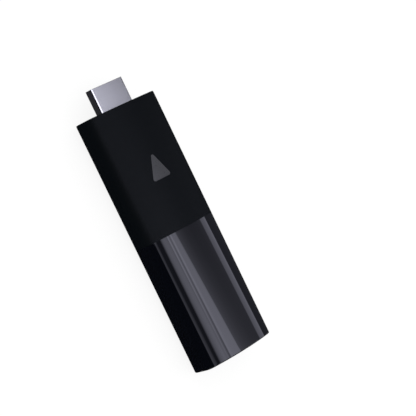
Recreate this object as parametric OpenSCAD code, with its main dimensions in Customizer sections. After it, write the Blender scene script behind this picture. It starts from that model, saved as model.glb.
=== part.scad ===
// Streaming media player: a stick with its own plug, lying on its back.
// +X runs across the width, +Y runs along the stick towards the plug, +Z comes out of the
// front face. The origin is under the middle of the whole length, plug included.

/* [Body] */
// Width of the body
body_w = 30.2; // [28:0.1:38]
// Length of the body without the plug
body_l = 92.4; // [88:0.1:120]
// Thickness of the body at its middle line
body_t = 15.2; // [12.7:0.1:20]
// How far each wide face swells from its edges to its middle
crown = 2.8; // [1.5:0.1:3.2]
// How far each long side swells
side_bow = 0.3; // [0.1:0.05:0.6]
// Radius of the four long rounded edges
corner_r = 3; // [2.2:0.1:4]
// Radius of the edge round each end face
end_r = 0.4; // [0.2:0.05:0.8]
// Wall of the two shells
wall = 1.5; // [1.2:0.1:2]
// Height of the lip that locates the rear shell in the front shell
lip_h = 1; // [0.6:0.1:1.4]
// Clearance all round the lip
lip_gap = 0.1; // [0.05:0.05:0.2]

/* [Plug] */
// Width of the plug shell
plug_w = 13.9; // [13.8:0.05:14]
// Thickness of the plug shell
plug_t = 4.45; // [4.4:0.05:4.5]
// Length of the plug outside the body
plug_l = 8.9; // [8:0.1:12]
// Length of the plug inside the body
plug_inside = 11; // [8:0.5:14]
// How far the plug's middle lies below the middle of the body
plug_drop = 0.3; // [0:0.1:0.6]
// Sheet thickness of the plug shell and its back cover
plug_sheet = 0.3; // [0.2:0.05:0.4]
// Radius of the plug shell's long edges
plug_r = 0.6; // [0.3:0.1:0.8]
// Clearance round the plug in the end wall
plug_gap = 0.15; // [0.05:0.05:0.3]
// Width of the slot in the plug's plastic core
plug_slot_w = 11.2; // [10.8:0.1:11.6]
// Length of the back cover
cover_l = 6; // [4:0.5:7]
// Width of the cradle that seats the plug
cradle_w = 20; // [17:0.5:22]
// Length of the cradle along the plug
cradle_l = 3; // [2:0.5:3.5]

/* [Contacts] */
// Contacts in the plug's front row; the rear row has one fewer
contact_count = 10; // [10:1:10]
// Distance between neighbouring contacts
contact_pitch = 1; // [1:0.1:1]
// Width of one contact
contact_w = 0.4; // [0.3:0.05:0.5]
// Thickness of one contact
contact_t = 0.2; // [0.15:0.05:0.25]
// Length of a contact's tail on the board
tail_l = 2; // [1:0.25:2.5]

/* [Emblem] */
// Width of the play triangle
emblem_w = 7.5; // [5:0.1:9]
// Length of the play triangle
emblem_l = 8.6; // [5:0.1:10]
// Corner radius of the play triangle
emblem_r = 0.7; // [0.4:0.1:1]
// Depth of the inlay at its middle line
emblem_depth = 0.7; // [0.5:0.05:0.8]
// Gap round the inlay
emblem_gap = 0.04; // [0.02:0.01:0.08]
// Distance from the plug's end of the body to the middle of the emblem
emblem_from_plug = 23.8; // [15:0.5:30]

/* [Board] */
// Thickness of the circuit board
board_t = 1; // [0.8:0.1:1.2]
// Gap between the board's edge and the shells
board_gap = 0.4; // [0.2:0.05:0.8]
// Width of the shell ledges that hold the board's edge
ledge_w = 1.4; // [1:0.1:2]
// Length of each ledge
ledge_l = 3; // [2:0.5:5]

/* [Chips and shields] */
// Width and length of the processor
processor_w = 12; // [10:0.5:14]
// Height of the processor
processor_t = 1.2; // [0.8:0.1:1.4]
// Width of the memory chip
memory_w = 12; // [9:0.5:14]
// Length of the memory chip
memory_l = 8; // [7:0.5:9]
// Width of the flash chip
flash_w = 11.5; // [10:0.5:14]
// Length of the flash chip
flash_l = 10.5; // [9:0.5:11]
// Height of the memory and flash chips
memory_t = 1; // [0.7:0.1:1.2]
// Gap between neighbours under the front shield
chip_gap = 1.2; // [0.8:0.1:2]
// Width of the front shield
front_can_w = 20; // [16:0.5:21]
// Height of the front shield's frame
front_can_h = 2; // [1.7:0.1:2.2]
// Distance from the board's plug edge to the front shield
front_can_from_edge = 3.5; // [3:0.5:5]
// Width of the rear shield
rear_can_w = 16; // [14:0.5:17]
// Length of the rear shield
rear_can_l = 26; // [22:0.5:28]
// Height of the rear shield's frame
rear_can_h = 1.6; // [1.5:0.1:1.8]
// Sheet thickness of the shields and the antennas
can_sheet = 0.2; // [0.15:0.05:0.3]
// Height of a shield lid's skirt
skirt_h = 1; // [0.6:0.1:1.4]
// Clearance between a lid's skirt and its frame
skirt_gap = 0.05; // [0.03:0.01:0.1]
// Width and length of the wireless module
wireless_w = 12; // [10:0.5:13]
// Height of the wireless module
wireless_t = 1.3; // [1:0.1:1.3]
// Width and length of the power chip
power_chip_w = 5; // [3:0.5:7]
// Height of the power chip
power_chip_t = 0.9; // [0.7:0.1:1]
// Width and length of each inductor
inductor_w = 4; // [3:0.5:5]
// Height of each inductor
inductor_t = 1.8; // [1.2:0.1:2]

/* [Heat spreaders] */
// Width of both heat spreaders
spreader_w = 18; // [16:0.5:18.5]
// Length of the front heat spreader
front_spreader_l = 44; // [36:1:48]
// Length of the rear heat spreader
rear_spreader_l = 34; // [28:1:40]
// Thickness of both heat spreaders
spreader_t = 1; // [0.8:0.1:1.2]
// Play above each heat spreader's edges
spreader_gap = 0.1; // [0.05:0.05:0.3]
// Thickness of the shell ribs that press on the spreaders
rib_w = 1; // [0.8:0.1:1.5]
// Distance between the two ribs
rib_spacing = 11; // [8:0.5:14]

/* [Power socket] */
// Width of the power socket's shell
socket_w = 7.5; // [7.4:0.05:7.6]
// Height of the power socket's shell
socket_h = 2.5; // [2.4:0.05:2.6]
// Depth of the power socket's shell
socket_d = 5.2; // [5:0.1:5.6]
// How far the socket's mouth lies behind the long side
socket_setback = 0.6; // [0.3:0.1:1]
// Distance from the far end face to the middle of the socket
socket_from_end = 26; // [20:0.5:34]
// Sheet thickness of the socket's shell
socket_sheet = 0.25; // [0.2:0.05:0.3]
// Clearance round the socket in the rear shell
socket_gap = 0.25; // [0.15:0.05:0.4]
// Width of the socket's tongue
tongue_w = 3.7; // [3.5:0.1:3.9]
// Thickness of the socket's tongue
tongue_t = 0.6; // [0.5:0.05:0.7]

/* [Antennas] */
// Length of each antenna
antenna_l = 9; // [7:0.5:12]
// Height of each antenna above the board
antenna_h = 3.2; // [2:0.1:3.6]
// Distance from the board's far edge to the antennas
antenna_from_edge = 2; // [1:0.5:4]

/* [Hidden] */

half_w = body_w / 2;
half_t = body_t / 2;
mid_z = half_t;
total_l = body_l + plug_l;
far_y = -total_l / 2;
plug_y = far_y + body_l;
tip_y = total_l / 2;
cut = 1;

// Outline of the body: a face arc, a side arc and the edge circle that touches both.
face_r = (half_w * half_w + crown * crown) / (2 * crown);
side_r = (half_t * half_t + side_bow * side_bow) / (2 * side_bow);
face_steps = 12;
side_steps = 3;
corner_steps = 8;
least_r = 0.4;

// Plug outline: a rounded box with two sloped corners at the back.
plug_slope = 0.9;
slope_share = 2 - sqrt(2);
plug_z = mid_z - plug_drop;
plug_back_y = plug_y - plug_inside;
edge_steps = 5;
slot_h = board_t + 2 * contact_t;
mouth_setback = 0.8;
web_l = 4;

board_z0 = plug_z - board_t / 2;
board_z1 = plug_z + board_t / 2;
board_half_w = half_w - wall - board_gap;
board_y0 = far_y + wall + board_gap;
board_y1 = plug_back_y - board_gap / 2;
ledge_ys = [board_y1 - 2 * ledge_l, (board_y0 + board_y1) / 2, board_y0 + 2 * ledge_l];

front_can_l = processor_w + memory_l + flash_l + 4 * chip_gap + 2 * can_sheet;
front_can_y = board_y1 - front_can_from_edge - front_can_l / 2;
processor_y = front_can_y + front_can_l / 2 - can_sheet - chip_gap - processor_w / 2;
memory_y = processor_y - processor_w / 2 - chip_gap - memory_l / 2;
flash_y = memory_y - memory_l / 2 - chip_gap - flash_l / 2;
rear_can_shift = 12;
rear_can_y = front_can_y - rear_can_shift;
wireless_y = rear_can_y - rear_can_l / 2 + can_sheet + chip_gap + wireless_w / 2;
power_chip_y = wireless_y + wireless_w / 2 + 2 * chip_gap + power_chip_w / 2;
flange_w = 0.8;

inductor_y = front_can_y - front_can_l / 2 - 2 * chip_gap - inductor_w / 2;
inductor_pitch = inductor_w + chip_gap;
capacitor_size = [0.8, 1.6, 0.8];
capacitor_y = inductor_y - inductor_w / 2 - chip_gap - capacitor_size.y / 2;
capacitor_pitch = 1.8;
capacitor_count = 8;
crystal_size = [3.2, 2.5, 0.8];
crystal_y = capacitor_y - capacitor_size.y / 2 - chip_gap - crystal_size.y / 2;

// Height of the cavity above the middle plane, at a distance x from the middle line.
function cavity_half(x) = half_t - face_r + sqrt(pow(face_r - wall, 2) - x * x);
front_spreader_z1 = mid_z + cavity_half(spreader_w / 2) - spreader_gap;
front_spreader_z0 = front_spreader_z1 - spreader_t;
rear_spreader_z0 = mid_z - cavity_half(spreader_w / 2) + spreader_gap;
rear_spreader_z1 = rear_spreader_z0 + spreader_t;
front_lid_z1 = board_z1 + front_can_h + can_sheet;
rear_lid_z0 = board_z0 - rear_can_h - can_sheet;

socket_y = far_y + socket_from_end;
socket_x1 = half_w - socket_setback;
socket_x0 = socket_x1 - socket_d;
socket_z1 = board_z0;
socket_z0 = socket_z1 - socket_h;
socket_mid_z = (socket_z0 + socket_z1) / 2;
socket_r = 0.5;
socket_slope = 0.9;
socket_back_l = 1.6;
tongue_setback = 1;
pin_count = 5;
pin_pitch = 0.65;
pin_w = 0.35;
pin_t = 0.12;
pin_foot = 0.7;
pin_span = (pin_count - 1) * pin_pitch + pin_w;

emblem_y = plug_y - emblem_from_plug;
emblem_steps = 32;
antenna_inset = 3;
antenna_x = board_half_w - antenna_inset;

black = [0.02, 0.02, 0.024];
chip_black = [0.06, 0.06, 0.065];
steel = [0.72, 0.72, 0.75];
gold = [0.85, 0.66, 0.3];

function unit(v) = v / norm(v);

// One quarter of the body's outline, moved in by inset, from the side to the face.
function quarter(inset) =
  let(
    r = max(corner_r - inset, least_r),
    face_c = half_t - face_r,
    side_c = half_w - side_r,
    reach_face = face_r - inset - r,
    reach_side = side_r - inset - r,
    apart = norm([side_c, face_c]),
    along = (reach_face * reach_face - reach_side * reach_side + apart * apart) / (2 * apart),
    off = sqrt(reach_face * reach_face - along * along),
    dir = unit([side_c, -face_c]),
    c = [0, face_c] + along * dir + off * [dir.y, -dir.x],
    side_a = atan2(c.y, c.x - side_c),
    face_a = atan2(c.y - face_c, c.x),
    face_step = (90 - face_a) / (face_steps - 0.5)
  )
  concat(
    [for (k = [0:side_steps - 1])
      [side_c, 0] + (side_r - inset) * [cos(side_a * k / side_steps), sin(side_a * k / side_steps)]],
    [for (k = [0:corner_steps])
      let(a = side_a + (face_a - side_a) * k / corner_steps) c + r * [cos(a), sin(a)]],
    [for (k = [1:face_steps - 1])
      [0, face_c] + (face_r - inset) * [cos(face_a + face_step * k), sin(face_a + face_step * k)]]
  );

// The whole outline, round all four quarters.
function outline(inset) =
  let(q = quarter(inset), n = len(q))
  concat(
    q,
    [for (k = [n - 1:-1:0]) [-q[k].x, q[k].y]],
    [for (k = [1:n - 1]) [-q[k].x, -q[k].y]],
    [for (k = [n - 1:-1:1]) [q[k].x, -q[k].y]]
  );

// A closed outline with every corner rounded to the radius r.
function rounded(points, r, steps) =
  let(n = len(points))
  [for (k = [0:n - 1])
    let(
      p = points[k],
      u = unit(points[(k + n - 1) % n] - p),
      v = unit(points[(k + 1) % n] - p),
      half = acos(max(-1, min(1, u * v))) / 2,
      c = p + unit(u + v) * r / sin(half),
      start = p + u * r / tan(half) - c,
      turn = 180 - 2 * half,
      way = cross(u, v) > 0 ? -1 : 1
    )
    for (s = [0:steps])
      let(a = way * turn * s / steps)
      c + [start.x * cos(a) - start.y * sin(a), start.x * sin(a) + start.y * cos(a)]
  ];

// Outline of the plug, moved in by inset; its narrow side is at the back.
function plug_outline(inset) =
  let(
    x = plug_w / 2 - inset,
    top = plug_t / 2 - inset,
    slope = plug_slope - inset * slope_share
  )
  rounded([[x, top], [-x, top], [-x, slope - top], [slope - x, -top], [x - slope, -top],
    [x, slope - top]], max(plug_r - inset, least_r / 4), edge_steps);

// Outline of the power socket's mouth, moved in by inset; its narrow side faces the board.
function socket_outline(inset) =
  let(
    x = socket_w / 2 - inset,
    z = socket_h / 2 - inset,
    slope = socket_slope - inset * slope_share
  )
  rounded([[x, -z], [x, z - slope], [x - slope, z], [slope - x, z], [-x, z - slope], [-x, -z]],
    max(socket_r - inset, least_r / 4), edge_steps);

// A length of the body's outline, moved in by inset.
module slab(inset, y0, y1) {
  translate([0, y1, mid_z])
    rotate([90, 0, 0])
      linear_extrude(y1 - y0)
        polygon(outline(inset));
}

// A length of the plug's outline.
module plug_slab(inset, y0, y1) {
  translate([0, y1, plug_z])
    rotate([90, 0, 0])
      linear_extrude(y1 - y0)
        polygon(plug_outline(inset));
}

// A depth of the socket's outline, along X.
module socket_slab(inset, x0, x1) {
  translate([x0, socket_y, socket_mid_z])
    rotate([90, 0, 90])
      linear_extrude(x1 - x0)
        polygon(socket_outline(inset));
}

// A box given by its two opposite corners.
module box(low, high) {
  translate(low)
    cube(high - low);
}

// The outside of the closed body, with rounded end edges.
module body_solid() {
  hull()
    for (a = [0:30:90])
      slab(end_r * (1 - cos(a)), far_y + end_r * (1 - sin(a)), plug_y - end_r * (1 - sin(a)));
}

// Everything inside the body between two heights.
module band(z0, z1) {
  box([-body_w, far_y - cut, z0], [body_w, plug_y + cut, z1]);
}

// Ledges that hold the board's edges and ribs that press on a spreader, grown from a shell.
module inner_supports(ledge_z0, ledge_z1, rib_z0, rib_z1, rib_l) {
  intersection() {
    slab(wall / 2, far_y + wall / 2, plug_y - wall / 2);
    union() {
      for (y = ledge_ys)
        for (side = [-1, 1])
          box([side > 0 ? board_half_w - ledge_w : -body_w, y - ledge_l / 2, ledge_z0],
            [side > 0 ? body_w : ledge_w - board_half_w, y + ledge_l / 2, ledge_z1]);
      for (x = [-rib_spacing / 2, rib_spacing / 2])
        box([x - rib_w / 2, front_can_y - rib_l / 2, rib_z0],
          [x + rib_w / 2, front_can_y + rib_l / 2, rib_z1]);
    }
  }
}

// The play triangle, grown by gap.
module emblem_shape(gap) {
  inner_w = emblem_w / 2 - emblem_r;
  inner_l = emblem_l / 2 - emblem_r;
  hull() {
    translate([0, inner_l])
      circle(emblem_r + gap, $fn = emblem_steps);
    for (x = [-inner_w, inner_w])
      translate([x, -inner_l])
        circle(emblem_r + gap, $fn = emblem_steps);
  }
}

module emblem_prism(gap) {
  translate([0, emblem_y, body_t - emblem_depth])
    linear_extrude(emblem_depth + cut)
      emblem_shape(gap);
}

module front_shell() {
  color(black)
    difference() {
      union() {
        difference() {
          intersection() {
            body_solid();
            band(mid_z, body_t + cut);
          }
          slab(wall, far_y + wall, plug_y - wall);
        }
        inner_supports(board_z1, body_t, front_spreader_z1, body_t, front_spreader_l - 2 * rib_w);
      }
      intersection() {
        slab(wall / 2 - lip_gap, far_y + wall / 2 - lip_gap, plug_y - wall / 2 + lip_gap);
        band(mid_z - cut, mid_z + lip_h + lip_gap);
      }
      plug_slab(-plug_gap, plug_y - 2 * wall, plug_y + cut);
      emblem_prism(emblem_gap);
    }
}

module rear_shell() {
  color(black)
    difference() {
      union() {
        difference() {
          union() {
            intersection() {
              body_solid();
              band(-cut, mid_z);
            }
            intersection() {
              slab(wall / 2, far_y + wall / 2, plug_y - wall / 2);
              band(mid_z - cut, mid_z + lip_h);
            }
          }
          slab(wall, far_y + wall, plug_y - wall);
        }
        inner_supports(0, board_z0, 0, rear_spreader_z0, rear_spreader_l - 2 * rib_w);
      }
      plug_slab(-plug_gap, plug_y - 2 * wall, plug_y + cut);
      socket_slab(-socket_gap, socket_x0 - socket_gap, half_w + cut);
    }
}

module emblem_inlay() {
  color("dimgray")
    intersection() {
      body_solid();
      emblem_prism(0);
    }
}

module plug_shell() {
  color(steel)
    difference() {
      plug_slab(0, plug_back_y, tip_y);
      plug_slab(plug_sheet, plug_back_y - cut, tip_y + cut);
    }
}

module plug_insulator() {
  color(chip_black) {
    difference() {
      plug_slab(plug_sheet, plug_back_y, tip_y - mouth_setback);
      box([-plug_slot_w / 2, plug_back_y - cut, plug_z - slot_h / 2],
        [plug_slot_w / 2, tip_y + cut, plug_z + slot_h / 2]);
    }
    box([-plug_slot_w / 2, plug_back_y, board_z0], [plug_slot_w / 2, plug_back_y + web_l, board_z1]);
  }
}

module plug_contacts() {
  color(gold)
    for (row = [0, 1], k = [0:contact_count - 1 - row]) {
      x = (k - (contact_count - 1 - row) / 2) * contact_pitch;
      z = row == 0 ? board_z1 : board_z0 - contact_t;
      box([x - contact_w / 2, plug_back_y - tail_l, z],
        [x + contact_w / 2, tip_y - 2 * mouth_setback, z + contact_t]);
    }
}

module plug_back_cover() {
  color(steel)
    difference() {
      plug_slab(-plug_sheet, plug_back_y, plug_back_y + cover_l);
      plug_slab(0, plug_back_y - cut, plug_back_y + cover_l + cut);
    }
}

module plug_cradle() {
  color("dimgray")
    difference() {
      intersection() {
        slab(wall, plug_y - wall - cradle_l, plug_y - wall);
        box([-cradle_w / 2, far_y, 0], [cradle_w / 2, plug_y, body_t]);
      }
      plug_slab(0, plug_y - wall - cradle_l - cut, plug_y);
    }
}

module main_board() {
  color("darkgreen")
    box([-board_half_w, board_y0, board_z0], [board_half_w, board_y1, board_z1]);
}

// A block on the front side (side = 1) or the rear side (side = -1) of the board.
module on_board(size, x, y, side) {
  z = side > 0 ? board_z1 : board_z0 - size.z;
  translate([x - size.x / 2, y - size.y / 2, z])
    cube(size);
}

module processor() {
  color(chip_black)
    on_board([processor_w, processor_w, processor_t], 0, processor_y, 1);
}

module memory_chip() {
  color(chip_black)
    on_board([memory_w, memory_l, memory_t], 0, memory_y, 1);
}

module flash_chip() {
  color(chip_black)
    on_board([flash_w, flash_l, memory_t], 0, flash_y, 1);
}

module wireless_module() {
  color(steel)
    on_board([wireless_w, wireless_w, wireless_t], 0, wireless_y, -1);
}

module power_chip() {
  color(chip_black)
    on_board([power_chip_w, power_chip_w, power_chip_t], 0, power_chip_y, -1);
}

module clock_crystal() {
  color(steel)
    on_board(crystal_size, 0, crystal_y, 1);
}

module power_inductors() {
  color("gray")
    for (x = [-inductor_pitch, 0, inductor_pitch])
      on_board([inductor_w, inductor_w, inductor_t], x, inductor_y, 1);
}

module filter_capacitors() {
  color("tan")
    for (k = [0:capacitor_count - 1])
      on_board(capacitor_size, (k - (capacitor_count - 1) / 2) * capacitor_pitch, capacitor_y, 1);
}

// A ring of sheet on the board with a flange turned in at its top.
module shield_frame(w, l, h, y, side) {
  difference() {
    on_board([w, l, h], 0, y, side);
    translate([0, 0, side > 0 ? -can_sheet : can_sheet])
      on_board([w - 2 * can_sheet, l - 2 * can_sheet, h], 0, y, side);
    translate([0, 0, side > 0 ? cut : -cut])
      on_board([w - 2 * flange_w, l - 2 * flange_w, h], 0, y, side);
  }
}

// A lid with a skirt that fits over a frame.
module shield_lid(w, l, h, y, side) {
  outer = 2 * (skirt_gap + can_sheet);
  lift = side * (h + can_sheet - skirt_h);
  difference() {
    translate([0, 0, lift])
      on_board([w + outer, l + outer, skirt_h], 0, y, side);
    translate([0, 0, lift - side * can_sheet])
      on_board([w + 2 * skirt_gap, l + 2 * skirt_gap, skirt_h], 0, y, side);
  }
}

module front_shield_frame() {
  color(steel)
    shield_frame(front_can_w, front_can_l, front_can_h, front_can_y, 1);
}

module front_shield_lid() {
  color("silver")
    shield_lid(front_can_w, front_can_l, front_can_h, front_can_y, 1);
}

module rear_shield_frame() {
  color(steel)
    shield_frame(rear_can_w, rear_can_l, rear_can_h, rear_can_y, -1);
}

module rear_shield_lid() {
  color("silver")
    shield_lid(rear_can_w, rear_can_l, rear_can_h, rear_can_y, -1);
}

module processor_pad() {
  color("lightblue")
    translate([0, 0, processor_t])
      on_board([processor_w, processor_w, front_can_h - processor_t], 0, processor_y, 1);
}

module front_gap_pad() {
  color("lightblue")
    box([-front_can_w / 2 + chip_gap, front_can_y - front_can_l / 2 + chip_gap, front_lid_z1],
      [front_can_w / 2 - chip_gap, front_can_y + front_can_l / 2 - chip_gap, front_spreader_z0]);
}

module rear_gap_pad() {
  color("lightblue")
    box([-rear_can_w / 2 + chip_gap, rear_can_y - rear_can_l / 2 + chip_gap, rear_spreader_z1],
      [rear_can_w / 2 - chip_gap, rear_can_y + rear_can_l / 2 - chip_gap, rear_lid_z0]);
}

module front_heat_spreader() {
  color("silver")
    box([-spreader_w / 2, front_can_y - front_spreader_l / 2, front_spreader_z0],
      [spreader_w / 2, front_can_y + front_spreader_l / 2, front_spreader_z1]);
}

module rear_heat_spreader() {
  color("silver")
    box([-spreader_w / 2, rear_can_y - rear_spreader_l / 2, rear_spreader_z0],
      [spreader_w / 2, rear_can_y + rear_spreader_l / 2, rear_spreader_z1]);
}

module power_socket_shell() {
  color(steel)
    difference() {
      socket_slab(0, socket_x0, socket_x1);
      socket_slab(socket_sheet, socket_x0 - cut, socket_x1 + cut);
    }
}

module power_socket_tongue() {
  color(chip_black) {
    difference() {
      socket_slab(socket_sheet, socket_x0, socket_x0 + socket_back_l);
      box([socket_x0 - cut, socket_y - pin_span / 2, socket_mid_z + tongue_t / 2],
        [socket_x1, socket_y + pin_span / 2, socket_mid_z + tongue_t / 2 + pin_t]);
    }
    box([socket_x0, socket_y - tongue_w / 2, socket_mid_z - tongue_t / 2],
      [socket_x1 - tongue_setback, socket_y + tongue_w / 2, socket_mid_z + tongue_t / 2]);
  }
}

module power_socket_contacts() {
  color(gold)
    for (k = [0:pin_count - 1]) {
      y0 = socket_y + (k - (pin_count - 1) / 2) * pin_pitch - pin_w / 2;
      z0 = socket_mid_z + tongue_t / 2;
      box([socket_x0 - pin_t, y0, z0], [socket_x1 - 2 * tongue_setback, y0 + pin_w, z0 + pin_t]);
      box([socket_x0 - 2 * pin_t, y0, z0], [socket_x0 - pin_t, y0 + pin_w, board_z0]);
      box([socket_x0 - 2 * pin_t - pin_foot, y0, board_z0 - pin_t], [socket_x0 - pin_t, y0 + pin_w, board_z0]);
    }
}

// A bent strip that stands on the board, with a foot turned towards the middle line.
module antenna(side) {
  y0 = board_y0 + antenna_from_edge;
  color(steel) {
    translate([side * antenna_x, y0 + antenna_l / 2, board_z1 + antenna_h / 2])
      cube([can_sheet, antenna_l, antenna_h], center = true);
    translate([side * (antenna_x - antenna_h / 4), y0 + antenna_l / 2, board_z1 + antenna_h - can_sheet / 2])
      cube([antenna_h / 2, antenna_l, can_sheet], center = true);
  }
}

module antenna_left() {
  antenna(-1);
}

module antenna_right() {
  antenna(1);
}

front_shell();
rear_shell();
emblem_inlay();
plug_shell();
plug_insulator();
plug_contacts();
plug_back_cover();
plug_cradle();
main_board();
processor();
memory_chip();
flash_chip();
wireless_module();
power_chip();
clock_crystal();
power_inductors();
filter_capacitors();
front_shield_frame();
front_shield_lid();
rear_shield_frame();
rear_shield_lid();
processor_pad();
front_gap_pad();
rear_gap_pad();
front_heat_spreader();
rear_heat_spreader();
power_socket_shell();
power_socket_tongue();
power_socket_contacts();
antenna_left();
antenna_right();
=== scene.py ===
import math

import bmesh
import bpy
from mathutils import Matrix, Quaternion, Vector


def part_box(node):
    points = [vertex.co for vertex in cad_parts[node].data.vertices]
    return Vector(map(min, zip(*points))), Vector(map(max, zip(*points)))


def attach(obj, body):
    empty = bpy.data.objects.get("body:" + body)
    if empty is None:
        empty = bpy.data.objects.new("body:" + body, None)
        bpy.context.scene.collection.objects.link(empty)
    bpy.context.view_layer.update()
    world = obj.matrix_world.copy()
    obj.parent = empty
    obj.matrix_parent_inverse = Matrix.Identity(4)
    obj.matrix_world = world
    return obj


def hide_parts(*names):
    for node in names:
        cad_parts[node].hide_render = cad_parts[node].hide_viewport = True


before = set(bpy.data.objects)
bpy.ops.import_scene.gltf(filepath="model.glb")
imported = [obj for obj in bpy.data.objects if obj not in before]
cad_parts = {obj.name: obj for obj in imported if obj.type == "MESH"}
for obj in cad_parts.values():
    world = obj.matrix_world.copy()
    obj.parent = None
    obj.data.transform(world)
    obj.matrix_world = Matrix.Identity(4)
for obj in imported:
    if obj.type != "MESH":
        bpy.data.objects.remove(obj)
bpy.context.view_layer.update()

# ---------------------------------------------------------------------------------------
# Main board. A four-layer board under green solder mask, routed from a panel with rounded
# corners. A row of gold test pads runs down both long edges of its front side.
# ---------------------------------------------------------------------------------------
BODY = "root"
MM = 0.001


class Value:
    """A socket that works in sums and products, each of which adds a Math node."""

    def __init__(self, shading, socket):
        self.shading, self.socket = shading, socket

    def math(self, operation, first, second):
        return self.shading.node("ShaderNodeMath", {"operation": operation}, {0: first, 1: second})

    def __add__(self, other):
        return self.math("ADD", self, other)

    def __rsub__(self, other):
        return self.math("SUBTRACT", other, self)

    def __mul__(self, other):
        return self.math("MULTIPLY", self, other)

    __radd__ = __add__
    __rmul__ = __mul__


class Shading:
    """A node tree under construction."""

    def __init__(self, tree):
        self.tree = tree

    def fill(self, socket, value):
        """Links a Value to a socket, or sets the socket to a number, a colour or a vector."""
        if isinstance(value, Value):
            self.tree.links.new(value.socket, socket)
        elif socket.type == "RGBA" and len(value) == 3:
            socket.default_value = (*value, 1)
        else:
            socket.default_value = value

    def node(self, kind, settings, inputs, output=0):
        """Adds a node from its type, its settings and its sockets, and gives one output."""
        made = self.tree.nodes.new(kind)
        for name, value in settings.items():
            setattr(made, name, value)
        for name, value in inputs.items():
            self.fill(made.inputs[name], value)
        return Value(self, made.outputs[output])

    def smooth(self, value, start, end):
        """0 up to start, 1 from end on, and a smooth rise between them."""
        return self.node("ShaderNodeMapRange", {"interpolation_type": "SMOOTHSTEP"},
                         {"Value": value, "From Min": start, "From Max": end})

    def colour(self, share, low, high):
        """A blend of two colours."""
        return self.node("ShaderNodeMix", {"data_type": "RGBA"}, {0: share, 6: low, 7: high}, 2)


class Finish(Shading):
    """A material under construction, around one Principled surface."""

    def __init__(self, name, **settings):
        self.material = bpy.data.materials.new(name)
        self.material.use_nodes = True
        super().__init__(self.material.node_tree)
        self.tree.nodes.clear()
        self.surface = self.tree.nodes.new("ShaderNodeBsdfPrincipled")
        out = self.tree.nodes.new("ShaderNodeOutputMaterial")
        self.tree.links.new(self.surface.outputs[0], out.inputs["Surface"])
        for setting, value in settings.items():
            self.set(setting.replace("_", " "), value)

    def set(self, name, value):
        self.fill(self.surface.inputs[name], value)

    def place(self):
        return self.node("ShaderNodeTexCoord", {}, {}, "Object")

    def noise(self, size, stretch=(1, 1, 1), detail=2):
        """Smooth noise with grains of a real size, drawn out along the axes by stretch."""
        scale = [1 / (size * s) for s in stretch]
        place = self.node("ShaderNodeVectorMath", {"operation": "MULTIPLY"},
                          {0: self.place(), 1: scale})
        return self.node("ShaderNodeTexNoise", {},
                         {"Vector": place, "Scale": 1.0, "Detail": detail})

    def relief(self, height, depth):
        """Bumps as deep as depth where height goes from 0 to 1."""
        self.set("Normal", self.node("ShaderNodeBump", {}, {"Height": height, "Distance": depth}))


def arc(centre, radius, start, end, steps):
    """Points along an arc, from one angle to another, both ends included."""
    turns = [start + (end - start) * k / steps for k in range(steps + 1)]
    return [centre + radius * Vector((math.cos(a), math.sin(a))) for a in turns]


def rounded(points, radius, steps):
    """A closed outline with each corner turned into an arc."""
    outline = []
    for k, point in enumerate(points):
        back = (points[k - 1] - point).normalized()
        ahead = (points[(k + 1) % len(points)] - point).normalized()
        half = math.acos(max(-1, min(1, back.dot(ahead)))) / 2
        centre = point + (back + ahead).normalized() * (radius / math.sin(half))
        spoke = point + back * (radius / math.tan(half)) - centre
        turn = (math.pi - 2 * half) * (-1 if back.x * ahead.y - back.y * ahead.x > 0 else 1)
        start = math.atan2(spoke.y, spoke.x)
        outline += arc(centre, radius, start, start + turn, steps)
    return outline


def solid(name, rings):
    """A closed mesh lofted through rings of points, with a flat cap on each end."""
    mesh = bmesh.new()
    loops = [[mesh.verts.new(p) for p in ring] for ring in rings]
    count = len(loops[0])
    for low, high in zip(loops, loops[1:]):
        for k in range(count):
            mesh.faces.new((low[k], low[(k + 1) % count], high[(k + 1) % count], high[k]))
    mesh.faces.new(list(reversed(loops[0])))
    mesh.faces.new(loops[-1])
    bmesh.ops.recalc_face_normals(mesh, faces=mesh.faces)
    data = bpy.data.meshes.new(name)
    mesh.to_mesh(data)
    mesh.free()
    piece = bpy.data.objects.new(name, data)
    bpy.context.scene.collection.objects.link(piece)
    return piece


def block(name, low, high):
    """A closed box between two corners, for cutting and joining."""
    corners = [(low[0], low[1]), (high[0], low[1]), (high[0], high[1]), (low[0], high[1])]
    return solid(name, [[(x, y, z) for x, y in corners] for z in (low[2], high[2])])


def freeze(piece):
    """Turns a piece's modifiers into its mesh."""
    graph = bpy.context.evaluated_depsgraph_get()
    mesh = bpy.data.meshes.new_from_object(piece.evaluated_get(graph))
    piece.modifiers.clear()
    piece.data = mesh
    return piece


def combine(piece, tool, operation):
    """Cuts a tool from a piece, joins it on or keeps what both share, and drops the tool."""
    change = piece.modifiers.new("combine", "BOOLEAN")
    change.object = tool
    change.operation = operation
    change.solver = "MANIFOLD"
    freeze(piece)
    bpy.data.objects.remove(tool)
    return piece


WELD = 0.0001 * MM
CREASE = math.radians(32)


def polish(piece, second=None):
    """Smooth shading with crisp creases. second tells which faces take the second finish."""
    piece.data.materials.clear()
    mesh = bmesh.new()
    mesh.from_mesh(piece.data)
    bmesh.ops.remove_doubles(mesh, verts=mesh.verts, dist=WELD)
    for face in mesh.faces:
        face.smooth = True
        if second:
            face.material_index = second(face.calc_center_median())
    for edge in mesh.edges:
        edge.smooth = len(edge.link_faces) == 2 and edge.calc_face_angle() < CREASE
    mesh.to_mesh(piece.data)
    mesh.free()
    weigh = piece.modifiers.new("weigh", "WEIGHTED_NORMAL")
    weigh.keep_sharp = True
    return freeze(piece)


def fit(piece, finishes, node):
    """Gives a new piece its finishes, and puts it in the place of a node of the frame."""
    for finish in finishes:
        piece.data.materials.append(finish.material)
    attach(piece, BODY)
    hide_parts(node)


def coat(node, finish):
    """Gives its finish to a node that keeps the frame's shape."""
    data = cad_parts[node].data
    data.materials.clear()
    data.materials.append(finish.material)


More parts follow.
